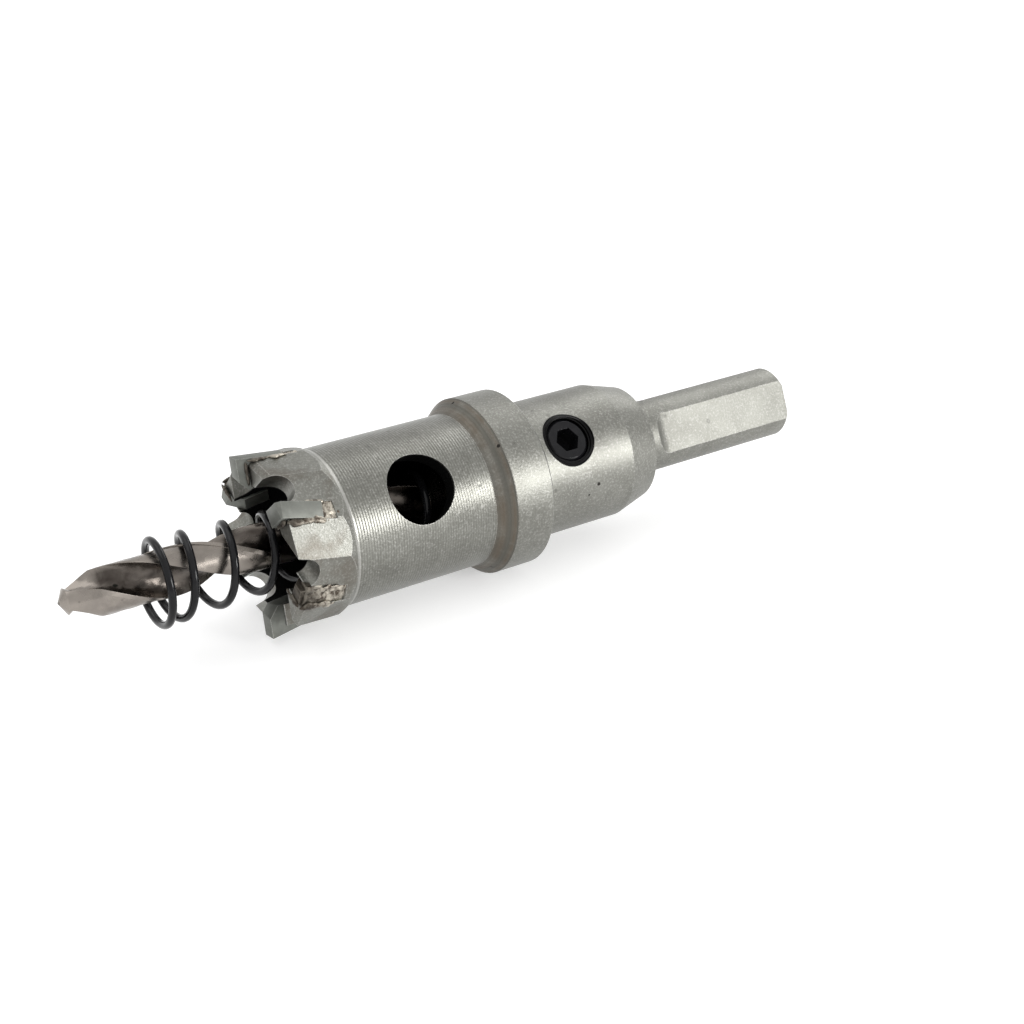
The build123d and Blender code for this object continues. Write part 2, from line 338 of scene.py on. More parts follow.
def axis_distance_group() -> Tree:
    """How far a point is from a line, and how far along it.

    Returns:
        The group.
    """
    group, inside, outside = new_group(
        "axis distance", ("Vector", "Centre", "Axis"), {}, ("Distance", "Along")
    )
    given = inside.outputs
    gap = vector_maths(group, "SUBTRACT", given["Vector"], given["Centre"]).outputs["Vector"]
    cross = vector_maths(group, "CROSS_PRODUCT", gap, given["Axis"]).outputs["Vector"]
    length = vector_maths(group, "LENGTH", cross).outputs["Value"]
    along = vector_maths(group, "DOT_PRODUCT", gap, given["Axis"]).outputs["Value"]
    feed(group, outside.inputs["Distance"], length)
    feed(group, outside.inputs["Along"], along)
    return group


class Effects:
    """The shared node groups, each built once."""

    def __init__(self) -> None:
        """Build the groups."""
        self.rings = lathe_rings_group()
        self.grain = grain_group()
        self.spot = spot_group()
        self.axis = axis_distance_group()


def edge_mask(tree: Tree, rounded: Socket, bend: Span = Span(0.9985, 0.975)) -> Socket:
    """Where a rounded normal leaves the plain one: 1 on an edge, 0 on a face.

    Args:
        tree: the material's tree.
        rounded: the rounded normal.
        bend: the likeness of the two normals at which the edge starts and is full.

    Returns:
        The mask.
    """
    plain = add_node(tree, "NewGeometry").outputs["Normal"]
    alike = vector_maths(tree, "DOT_PRODUCT", rounded, plain)
    return ranged(tree, alike.outputs["Value"], bend)


# ---- Finishes


@dataclass(frozen=True)
class Finish:
    """The numbers that every finish has. Grain, cloud and speck are cells to the metre."""

    name: str
    grain: float
    cloud: float
    speck: float
    roughness: float
    roughness_spread: float
    metallic: float
    bump: float
    bump_height: float
    edge_round: float = 0.06 * MM
    shine: float = 0.5


class Coat:
    """A finish in the making: its tree, the place on the piece and the metal's grain."""

    def __init__(self, finish: Finish, effects: Effects) -> None:
        """Start the material.

        Args:
            finish: the numbers of its finish.
            effects: the shared node groups.
        """
        self.finish = finish
        self.effects = effects
        self.material, self.tree = new_material(finish.name)
        self.place = add_node(self.tree, "TexCoord").outputs["Object"]
        grain = self.effect(effects.grain, in_Grain=finish.grain, in_Cloud=finish.cloud,
                            in_Speck=finish.speck)
        self.fine, self.broad = grain["Fine"], grain["Broad"]
        self.specks, self.height = grain["Specks"], grain["Height"]

    def effect(self, group: Tree, **values: object) -> Outputs:
        """Put a shared group in, with values for its inputs as in_NAME."""
        made = add_node(self.tree, "Group", node_tree=group, in_Vector=self.place, **values)
        return made.outputs

    def from_axis(self) -> Outputs:
        """The Distance from the tool's axis and the place Along it."""
        return self.effect(self.effects.axis, in_Axis=TOOL_AXIS)

    def spot(self, centre: Place, radius: float) -> Socket:
        """The mask of a round spot, whose centre and radius are in millimetres."""
        centre = tuple(c * MM for c in centre)
        return self.effect(self.effects.spot, in_Centre=centre, in_Radius=radius * MM)["Mask"]

    def layered(self, base: Colour, *layers: tuple[Socket, Colour]) -> Socket:
        """Lay tones over a base colour.

        Args:
            base: the base colour.
            layers: the mask and the colour of each tone, from the lowest up.

        Returns:
            The colour.
        """
        colour = base
        for share, tone in layers:
            colour = mixed(self.tree, share, colour, tone)
        return colour

    def spread_roughness(self, value: Socket) -> Socket:
        """The finish's roughness, spread about its middle by a value from 0 to 1."""
        spread = self.finish.roughness_spread
        return raised(self.tree, self.finish.roughness - spread / 2, value, spread)

    def rounded(self) -> Socket:
        """A normal that rounds the edges a little."""
        made = add_node(self.tree, "Bevel", samples=4, in_Radius=self.finish.edge_round)
        return made.outputs["Normal"]

    def close(self, colour: Socket, roughness: Socket, height: Socket,
              normal: Socket | None = None) -> Material:
        """Put the shader in.

        Args:
            colour: its base colour.
            roughness: its roughness.
            height: the height that its bump shows.
            normal: the normal that the bump starts from.

        Returns:
            The finished material.
        """
        bump = add_node(self.tree, "Bump", in_Strength=self.finish.bump,
                        in_Distance=self.finish.bump_height, in_Height=height, in_Normal=normal)
        shader = add_node(self.tree, "BsdfPrincipled", in_Base_Color=colour,
                          in_Roughness=roughness, in_Metallic=self.finish.metallic,
                          in_Specular_IOR_Level=self.finish.shine,
                          in_Normal=bump.outputs["Normal"])
        add_node(self.tree, "OutputMaterial", in_Surface=shader.outputs["BSDF"])
        return self.material


@dataclass(frozen=True)
class BodyZones:
    """Masks of the body's stretches, with its turned rings and the distance in its screw hole."""

    rim: Socket
    step: Socket
    barrel: Socket
    cone: Socket
    shank: Socket
    # Where painted shade goes: inside the cup and on the window walls.
    inside: Socket
    screw_hole: Socket
    screw_distance: Socket
    ring_height: Socket
    ring_tone: Socket


@dataclass(frozen=True)
class BlastedSteel(Finish):
    """The body's steel: hardened and blasted, with turned rings on the barrel, and stains.

    Painted shade darkens the cup's inside, the window walls, the screw hole and the ring
    grooves, and painted highlights lighten the edges and the step.
    """

    name: str = "blasted steel"
    grain: float = 3600.0
    cloud: float = 230.0
    speck: float = 700.0
    roughness: float = 0.42
    roughness_spread: float = 0.22
    metallic: float = 1.0
    bump: float = 0.8
    bump_height: float = 0.042 * MM
    edge_round: float = 0.12 * MM

    steel: Colour = (0.215, 0.215, 0.194)
    # The colour of the dark clouds and grains, also used as painted shade in the ring grooves.
    dark: Colour = (0.11, 0.108, 0.095)
    brown: Colour = (0.125, 0.105, 0.083)
    # The colour of the bright grains, and of the painted highlights on the edges and the step.
    bright: Colour = (0.46, 0.455, 0.43)
    pit: Colour = (0.03, 0.028, 0.025)
    # Near black, painted as shade inside the cup, on the window walls and in the screw hole.
    inside: Colour = (0.012, 0.012, 0.012)

    # Stations along the axis, radii round it, and how softly the stretches end
    rim_front: float = -82.0 * MM
    step: float = -73.6 * MM
    barrel_rear: float = -54.0 * MM
    cup_floor: float = -53.0 * MM
    collar_front: float = -51.8 * MM
    shank_start: float = -26.4 * MM
    barrel_radius: float = 10.15 * MM
    bore_radius: float = 7.75 * MM
    soft: float = 0.1 * MM
    rim_gap: float = 0.5 * MM
    cup_soft: float = 0.5 * MM
    shank_soft: float = 0.3 * MM
    step_front: float = 0.3 * MM
    step_rear: float = 0.05 * MM
    # The band of depth below the barrel that marks the window walls for the painted shade.
    window_skin: tuple[float, float] = (0.15 * MM, 0.45 * MM)

    # The threaded hole of the set screw
    screw_station: float = -40.4 * MM
    screw_angle: float = 135.0
    screw_hole_edge: float = 3.74 * MM
    screw_hole_soft: float = 0.06 * MM
    thread_pitch: float = 0.36 * MM

    # Shares of each tone
    clouds: Span = Span(0.35, 0.68, 0.0, 0.4)
    bright_grains: Span = Span(0.5, 0.7, 0.0, 0.5)
    dark_grains: Span = Span(0.44, 0.3, 0.0, 0.35)
    cone_stain: Span = Span(0.35, 0.6, 0.35, 0.9)
    rim_heat: Span = Span(0.5, 0.66, 0.0, 0.45)
    # Painted shade in the barrel's turned grooves, darker where the rings are low.
    ring_groove_shade: Span = Span(0.5, 0.0, 0.0, 0.4)
    cone_streaks: Span = Span(0.42, 0.56, 0.0, 0.8)
    # Painted highlight along the edges, broken by the fine grain.
    edge_highlight: Span = Span(0.4, 0.6, 0.3, 0.9)
    # Painted highlight on the step between the rim and the barrel.
    step_highlight: float = 0.6
    speck_share: float = 0.3

    # What each stretch adds to the roughness
    stain_roughness: float = 0.1
    shank_roughness: float = 0.07
    barrel_roughness: float = -0.08
    inside_roughness: float = 0.3

    # Heights, as parts of the bump height
    ring_pitch: float = 0.37 * MM
    ring_height: float = 0.6
    cone_rings: float = 0.8
    barrel_grain: float = -0.5
    thread_height: float = 3.0
    pit_height: float = -3.0

    # Each pit's centre and radius, in millimetres
    pits: tuple[tuple[Place, float], ...] = (
        ((-52.4, 2.57, 11.04), 0.25),
        ((-52.1, -7.56, 8.7), 0.24),
        ((-37.4, -9.19, 0.14), 0.27),
        ((-38.9, -9.13, -1.06), 0.16),
    )

    @staticmethod
    def between(tree: Tree, along: Socket, start: float, end: float, soft: float) -> Socket:
        """A mask of the stretch between two stations, with soft ends."""
        return both(tree, ranged(tree, along, Span(start - soft, start)),
                    ranged(tree, along, Span(end + soft, end)))

    def zones(self, coat: Coat) -> BodyZones:
        """Mask the body's stretches.

        Args:
            coat: the material in the making.

        Returns:
            The masks.
        """
        tree = coat.tree
        along = add_node(tree, "SeparateXYZ", in_Vector=coat.place).outputs["X"]
        radius = coat.from_axis()["Distance"]
        rings = coat.effect(coat.effects.rings, in_Pitch=self.ring_pitch)
        turn = math.radians(self.screw_angle)
        hole = coat.effect(coat.effects.axis, in_Centre=(self.screw_station, 0.0, 0.0),
                           in_Axis=(0.0, math.cos(turn), math.sin(turn)))
        barrel = self.between(tree, along, self.step, self.barrel_rear, self.soft)
        # Inside the cup and on the window walls, where the colour is painted shade.
        in_cup = both(tree,
                      ranged(tree, radius, Span(self.bore_radius, self.bore_radius - self.soft)),
                      ranged(tree, along, Span(self.cup_floor + self.cup_soft, self.cup_floor)))
        outer, inner = (self.barrel_radius - depth for depth in self.window_skin)
        in_window = both(tree, ranged(tree, radius, Span(outer, inner)), barrel)
        # The screw hole's rim and thread, where the colour is painted shade.
        edge = Span(self.screw_hole_edge, self.screw_hole_edge - self.screw_hole_soft)
        return BodyZones(
            rim=self.between(tree, along, self.rim_front, self.step - self.rim_gap, self.rim_gap),
            # The step, which gets a painted highlight.
            step=self.between(tree, along, self.step - self.step_front,
                              self.step + self.step_rear, self.soft),
            barrel=barrel,
            cone=self.between(tree, along, self.barrel_rear, self.collar_front, self.soft),
            shank=ranged(tree, along, Span(self.shank_start - self.shank_soft,
                                           self.shank_start + self.shank_soft)),
            inside=either(tree, in_cup, in_window),
            screw_hole=both(tree, ranged(tree, hole["Distance"], edge),
                            maths(tree, "GREATER_THAN", hole["Along"], 0.0)),
            screw_distance=hole["Distance"],
            ring_height=rings["Height"],
            ring_tone=rings["Tone"],
        )

    def stains(self, coat: Coat, zones: BodyZones) -> Socket:
        """The mask of the brown stains on the cone and the rim."""
        tree = coat.tree
        return either(tree, both(tree, zones.cone, ranged(tree, coat.broad, self.cone_stain)),
                      both(tree, zones.rim, ranged(tree, coat.broad, self.rim_heat)))

    def pitted(self, coat: Coat) -> Socket:
        """The mask of the pits and of the faint specks."""
        mask = both(coat.tree, coat.specks, self.speck_share)
        for centre, size in self.pits:
            mask = either(coat.tree, mask, coat.spot(centre, size))
        return mask

    def coloured(self, coat: Coat, zones: BodyZones, stains: Socket, pits: Socket,
                 edges: Socket) -> Socket:
        """Lay the tones over each other.

        Args:
            coat: the material in the making.
            zones: the masks of the body's stretches.
            stains: the mask of the stains.
            pits: the mask of the pits.
            edges: the mask of the edges, where highlights are painted.

        Returns:
            The base colour.
        """
        tree = coat.tree
        # Painted shade where the barrel's rings are low; the cone's streaks are its own turning
        # marks.
        groove_shade = both(tree, zones.barrel, ranged(tree, zones.ring_height, self.ring_groove_shade))
        streaks = both(tree, zones.cone, ranged(tree, zones.ring_tone, self.cone_streaks))
        # Painted highlight along the edges, broken by the fine grain.
        lighter = both(tree, edges, ranged(tree, coat.fine, self.edge_highlight))
        return coat.layered(
            self.steel,
            (ranged(tree, coat.broad, self.clouds), self.dark),
            (ranged(tree, coat.fine, self.bright_grains), self.bright),
            (ranged(tree, coat.fine, self.dark_grains), self.dark),
            (stains, self.brown),
            # Painted shade in the ring grooves, and the cone's streaks.
            (either(tree, groove_shade, streaks), self.dark),
            # Painted highlights on the edges and on the step.
            (either(tree, lighter, both(tree, zones.step, self.step_highlight)), self.bright),
            (pits, self.pit),
            # Painted shade: near black inside the cup, on the window walls and in the screw hole.
            (either(tree, zones.inside, zones.screw_hole), self.inside),
        )

    def roughened(self, coat: Coat, zones: BodyZones, stains: Socket) -> Socket:
        """Add up the roughness.

        Args:
            coat: the material in the making.
            zones: the masks of the body's stretches.
            stains: the mask of the stains.

        Returns:
            The roughness.
        """
        rough = coat.spread_roughness(coat.fine)
        rough = raised(coat.tree, rough, stains, self.stain_roughness)
        rough = raised(coat.tree, rough, zones.shank, self.shank_roughness)
        rough = raised(coat.tree, rough, zones.barrel, self.barrel_roughness)
        return maths(coat.tree, "MULTIPLY_ADD", zones.inside, self.inside_roughness, rough,
                     clamp=True)

    def relief(self, coat: Coat, zones: BodyZones, pits: Socket) -> Socket:
        """Add up the heights of the grain, the rings, the thread and the pits.

        Args:
            coat: the material in the making.
            zones: the masks of the body's stretches.
            pits: the mask of the pits.

        Returns:
            The height.
        """
        tree = coat.tree
        ringed = either(tree, zones.barrel, both(tree, zones.cone, self.cone_rings))
        blasted = both(tree, coat.height, raised(tree, 1.0, zones.barrel, self.barrel_grain))
        rings = both(tree, zones.ring_height, ringed)
        height = raised(tree, blasted, rings, self.ring_height)
        turns = maths(tree, "MULTIPLY", zones.screw_distance, 2 * math.pi / self.thread_pitch)
        thread = both(tree, maths(tree, "SINE", turns), zones.screw_hole)
        height = raised(tree, height, thread, self.thread_height)
        return raised(tree, height, pits, self.pit_height)

    def build(self, effects: Effects) -> Material:
        """Make the material.

        Args:
            effects: the shared node groups.

        Returns:
            The material.
        """
        coat = Coat(self, effects)
        zones = self.zones(coat)
        stains = self.stains(coat, zones)
        pits = self.pitted(coat)
        rounded = coat.rounded()
        colour = self.coloured(coat, zones, stains, pits, edge_mask(coat.tree, rounded))
        rough = self.roughened(coat, zones, stains)
        return coat.close(colour, rough, self.relief(coat, zones, pits), rounded)


@dataclass(frozen=True)
class GroundCarbide(Finish):
    """Sintered carbide, ground smooth, with a fine grain and paler edges, painted on as
    highlights.
    """

    name: str = "ground carbide"
    grain: float = 6500.0
    cloud: float = 700.0
    speck: float = 2400.0
    roughness: float = 0.55
    roughness_spread: float = 0.2
    metallic: float = 0.9
    bump: float = 0.25
    bump_height: float = 0.006 * MM

    base: Colour = (0.155, 0.16, 0.144)
    light: Colour = (0.215, 0.22, 0.2)
    # Painted highlight colour along the edges.
    edge: Colour = (0.52, 0.52, 0.49)
    pit: Colour = (0.1, 0.1, 0.1)
    clouds: Span = Span(0.35, 0.7, 0.0, 0.8)
    speck_share: float = 0.4
    edge_highlight_share: float = 0.8

    def build(self, effects: Effects) -> Material:
        """Make the material.

        Args:
            effects: the shared node groups.

        Returns:
            The material.
        """
        coat = Coat(self, effects)
        tree = coat.tree
        rounded = coat.rounded()
        colour = coat.layered(
            self.base,
            (ranged(tree, coat.broad, self.clouds), self.light),
            (both(tree, coat.specks, self.speck_share), self.pit),
            # Painted highlights on the edges.
            (both(tree, edge_mask(tree, rounded), self.edge_highlight_share), self.edge),
        )
        return coat.close(colour, coat.spread_roughness(coat.fine), coat.height, rounded)


@dataclass(frozen=True)
class ToolSteel(Finish):
    """The drill's steel: warm grey, polished along the flutes, browned in their depth, with
    painted glints in broad patches.
    """

    name: str = "tool steel"
    grain: float = 2600.0
    cloud: float = 420.0
    speck: float = 1500.0
    roughness: float = 0.27
    roughness_spread: float = 0.16
    metallic: float = 1.0
    bump: float = 0.35
    bump_height: float = 0.01 * MM

    land: Colour = (0.232, 0.209, 0.187)
    flute: Colour = (0.034, 0.027, 0.023)
    # Painted glint: broad lighter patches on the steel.
    painted_glint: Colour = (0.40, 0.36, 0.32)
    pit: Colour = (0.012, 0.012, 0.01)
    flute_depth: Span = Span(2.93 * MM, 2.1 * MM)
    behind_point: Span = Span(-103.2 * MM, -102.0 * MM)
    clouds: Span = Span(0.35, 0.7)
    painted_glint_share: float = 0.4
    browning: Span = Span(0.3, 0.7, 0.95, 0.6)
    speck_share: float = 0.3

    # The dark spot near the point: its centre and radius, in millimetres
    spot: tuple[Place, float] = ((-100.54, -0.62, 0.59), 0.34)

    def build(self, effects: Effects) -> Material:
        """Make the material.

        Args:
            effects: the shared node groups.

        Returns:
            The material.
        """
        coat = Coat(self, effects)
        tree = coat.tree
        middle = coat.from_axis()
        hollow = both(tree, ranged(tree, middle["Distance"], self.flute_depth),
                      ranged(tree, middle["Along"], self.behind_point))
        clouds = ranged(tree, coat.broad, self.clouds)
        pits = either(tree, coat.spot(*self.spot), both(tree, coat.specks, self.speck_share))
        colour = coat.layered(
            self.land,
            # Painted glints in broad patches.
            (both(tree, clouds, self.painted_glint_share), self.painted_glint),
            (both(tree, hollow, ranged(tree, coat.broad, self.browning)), self.flute),
            (pits, self.pit),
        )
        return coat.close(colour, coat.spread_roughness(clouds), coat.height, coat.rounded())


@dataclass(frozen=True)
class BlackOxide(Finish):
    """Blackened steel, thinly oiled: almost black with a crisp shine and a worn bloom."""

    name: str = "black oxide"
    grain: float = 5200.0
    cloud: float = 600.0
    speck: float = 1600.0
    roughness: float = 0.13
    roughness_spread: float = 0.2
    metallic: float = 0.0
    bump: float = 0.3
    bump_height: float = 0.008 * MM
    shine: float = 0.22

    base: Colour = (0.005, 0.005, 0.006)
    lighter: Colour = (0.014, 0.014, 0.015)
    bloom: Span = Span(0.4, 0.75, 0.0, 0.6)

    def build(self, effects: Effects) -> Material:
        """Make the material.

        Args:
            effects: the shared node groups.

        Returns:
            The material.
        """
        coat = Coat(self, effects)
        bloom = ranged(coat.tree, coat.broad, self.bloom)
        colour = coat.layered(self.base, (bloom, self.lighter))
        return coat.close(colour, coat.spread_roughness(coat.fine), coat.height, coat.rounded())


@dataclass(frozen=True)
class Braze(Finish):
    """Rough brown braze with bright crumbs and dark specks, as it runs out beside the tips, darker
    towards the tool's front.
    """

    name: str = "braze"
    grain: float = 3000.0
    cloud: float = 1300.0
    speck: float = 2200.0
    roughness: float = 0.42
    roughness_spread: float = 0.4
    metallic: float = 0.8
    bump: float = 0.9
    bump_height: float = 0.06 * MM

    brown: Colour = (0.075, 0.058, 0.044)
    pale: Colour = (0.46, 0.425, 0.36)
    dark: Colour = (0.035, 0.028, 0.021)
    crumbs: Span = Span(0.4, 0.58)
    # Darker towards the tool's front.
    darkening: Span = Span(-78.2 * MM, -80.6 * MM, 0.0, 0.8)
    speck_share: float = 0.7

    def build(self, effects: Effects) -> Material:
        """Make the material.

        Args:
            effects: the shared node groups.

        Returns:
            The material.
        """
        coat = Coat(self, effects)
        tree = coat.tree
        crumbs = ranged(tree, coat.broad, self.crumbs)
        # Darker towards the front, and dark specks.
        darkening = either(tree, ranged(tree, coat.from_axis()["Along"], self.darkening),
                      both(tree, coat.specks, self.speck_share))
        colour = coat.layered(self.brown, (crumbs, self.pale), (darkening, self.dark))
        return coat.close(colour, coat.spread_roughness(coat.fine), coat.height)


class Finishes:
    """Every finish of the tool, built once."""

    def __init__(self) -> None:
        """Build the finishes from one set of shared effects."""
        effects = Effects()
        self.steel = BlastedSteel().build(effects)
        self.carbide = GroundCarbide().build(effects)
        # A much darker carbide for the second tip.
        self.darker_carbide = GroundCarbide(
            name="stained carbide", base=(0.035, 0.029, 0.023), light=(0.13, 0.115, 0.095),
            # Its painted edge highlight is duller.
            edge=(0.22, 0.2, 0.17),
        ).build(effects)
        self.drill = ToolSteel().build(effects)
        self.black = BlackOxide().build(effects)
        self.braze = Braze().build(effects)

    def of(self, slot: Slot) -> Material:
        """The plain finish of a slot."""
        return {Slot.STEEL: self.steel, Slot.CARBIDE: self.carbide, Slot.DRILL: self.drill,
                Slot.BLACK: self.black}[slot]


# ---- Pieces


def linked(name: str, data: bpy.types.ID) -> Object:
    """Make an object of some data and put it into the scene.

    Args:
        name: the object's name.
        data: its mesh, curve, light or camera.

    Returns:
        The object.
    """
    made = bpy.data.objects.new(name, data)
    bpy.context.scene.collection.objects.link(made)
    return made


def object_from(work: BMesh, name: str) -> Object:
    """Turn a bmesh into an object of the scene and free it.

    Args:
        work: the bmesh.
        name: the object's name.

    Returns:
        The object.
    """
    mesh = bpy.data.meshes.new(name)
    work.to_mesh(mesh)
    work.free()
    return linked(name, mesh)


def finish_piece(piece: Object, material: Material, slot: Slot,
                 *nodes: str) -> None:
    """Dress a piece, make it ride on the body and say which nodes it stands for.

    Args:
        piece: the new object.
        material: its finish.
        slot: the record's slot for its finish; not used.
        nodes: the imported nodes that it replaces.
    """
    piece.data.materials.clear()
    piece.data.materials.append(material)
    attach(piece, BODY)
    if nodes:
        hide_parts(*nodes)
    log.info("%s: %d faces for %s", piece.name, len(piece.data.polygons),
             ", ".join(nodes) or "no node")


def joined_copy(node: str, reach: float = 0.001 * MM) -> BMesh:
    """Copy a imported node's mesh and join its loose triangles.

    Args:
        node: the node's name.
        reach: how near two points lie that become one.

    Returns:
        The copy.
    """
    work = bmesh.new()
    work.from_mesh(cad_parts[node].data)
    bmesh.ops.remove_doubles(work, verts=work.verts, dist=reach)
    return work


def merged(parts: list[BMesh]) -> BMesh:
    """Put several bmeshes into one and free them.

    Args:
        parts: the bmeshes.

    Returns:
        The whole.
    """
    work = bmesh.new()
    for part in parts:
        carrier = bpy.data.meshes.new("part")
        part.to_mesh(carrier)
        part.free()
        work.from_mesh(carrier)
        bpy.data.meshes.remove(carrier)
    return work


def shade_by_angle(work: BMesh, sharp_angle: float, sharp_rings: tuple[float, ...] = (),
                   ring_bend: float = 4.0, ring_reach: float = 0.01 * MM) -> None:
    """Smooth every face, and keep sharp the edges that bend a lot or lie on a chosen ring.

    Args:
        work: the mesh.
        sharp_angle: the bend past which any edge stays sharp, in degrees.
        sharp_rings: stations whose round edges stay sharp from a small bend on.
        ring_bend: that small bend, in degrees.
        ring_reach: how near to its station such an edge lies.
    """
    for face in work.faces:
        face.smooth = True
    for edge in work.edges:
        on_ring = any(all(abs(v.co.x - station) < ring_reach for v in edge.verts)
                      for station in sharp_rings)
        limit = math.radians(ring_bend if on_ring else sharp_angle)
        edge.smooth = edge.calc_face_angle(0.0) <= limit


@dataclass
class SmoothedNode:
    """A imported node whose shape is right, shown by a smooth skin of that shape."""

    node: str
    slot: Slot
    sharp_angle: float
    sharp_rings: tuple[float, ...] = ()

    def build(self, finishes: Finishes) -> None:
        """Make the skin that stands for the node.

        Args:
            finishes: the tool's finishes.
        """
        work = joined_copy(self.node)
        shade_by_angle(work, self.sharp_angle, self.sharp_rings)
        skin = object_from(work, f"{self.node}_skin")
        finish_piece(skin, finishes.of(self.slot), self.slot, self.node)


@dataclass
class CutterBody(SmoothedNode):
    """The turned and milled steel body, with a crisp edge where the hub starts to taper."""

    node: str = "cutter_body"
    slot: Slot = Slot.STEEL
    sharp_angle: float = 19.0
    sharp_rings: tuple[float, ...] = (-31.5 * MM,)


@dataclass
class PilotDrill(SmoothedNode):
    """The fluted drill."""

    node: str = "pilot_drill"
    slot: Slot = Slot.DRILL
    sharp_angle: float = 28.0


@dataclass
class SetScrew(SmoothedNode):
    """The headless screw that clamps the drill."""

    node: str = "set_screw"
    slot: Slot = Slot.BLACK
    sharp_angle: float = 25.0


@dataclass
class CuttingTips:
    """The carbide tips, with their ground edges very slightly rounded."""

    nodes: tuple[str, ...] = tuple(f"carbide_tip_{k}" for k in range(1, 7))
    # The tips that get the much darker carbide.
    darker: tuple[str, ...] = ("carbide_tip_2",)
    edge_round: float = 0.05 * MM
    edge_segments: int = 2
    flat_angle: float = 1.0
    sharp_angle: float = 60.0

    def build(self, finishes: Finishes) -> None:
        """Make a skin for each tip.

        Args:
            finishes: the tool's finishes.
        """
        for node in self.nodes:
            work = joined_copy(node)
            bmesh.ops.dissolve_limit(work, angle_limit=math.radians(self.flat_angle),
                                     verts=work.verts, edges=work.edges)
            bmesh.ops.bevel(work, geom=list(work.edges), offset=self.edge_round,
                            segments=self.edge_segments, profile=0.5, affect="EDGES",
                            clamp_overlap=True, material=-1)
            shade_by_angle(work, self.sharp_angle)
            finish = finishes.darker_carbide if node in self.darker else finishes.carbide
            finish_piece(object_from(work, f"{node}_skin"), finish, Slot.CARBIDE, node)


@dataclass(frozen=True)
class Pocket:
    """The place of a tooth's pocket on the rim, in millimetres and degrees."""

    number: int
    angle: float
    covered: bool = False
    lean: float = 13.0
    tip_rear: float = -77.22

    def point(self, along: float, out: float, aside: float) -> Vector:
        """A point beside the pocket.

        Args:
            along: from the tip's rear end towards the shank, in millimetres.
            out: from the tool's axis.
            aside: from the pocket's middle, away from the gullet.

        Returns:
            The point in metres.
        """
        turn, lean = math.radians(self.angle), math.radians(self.lean)
        outward = Vector((0.0, math.cos(turn), math.sin(turn)))
        round_axis = Vector((0.0, -math.sin(turn), math.cos(turn)))
        forward = Vector((math.cos(lean), 0.0, 0.0)) + round_axis * math.sin(lean)
        across = forward.cross(outward)
        rear = Vector((self.tip_rear, 0.0, 0.0))
        return (rear + forward * along + outward * out + across * aside) * MM


@dataclass(frozen=True)
class Bead:
    """A bead of braze: its ends as along, out and aside, and half its width and height, in mm."""

    start: Place
    end: Place
    width: float
    height: float


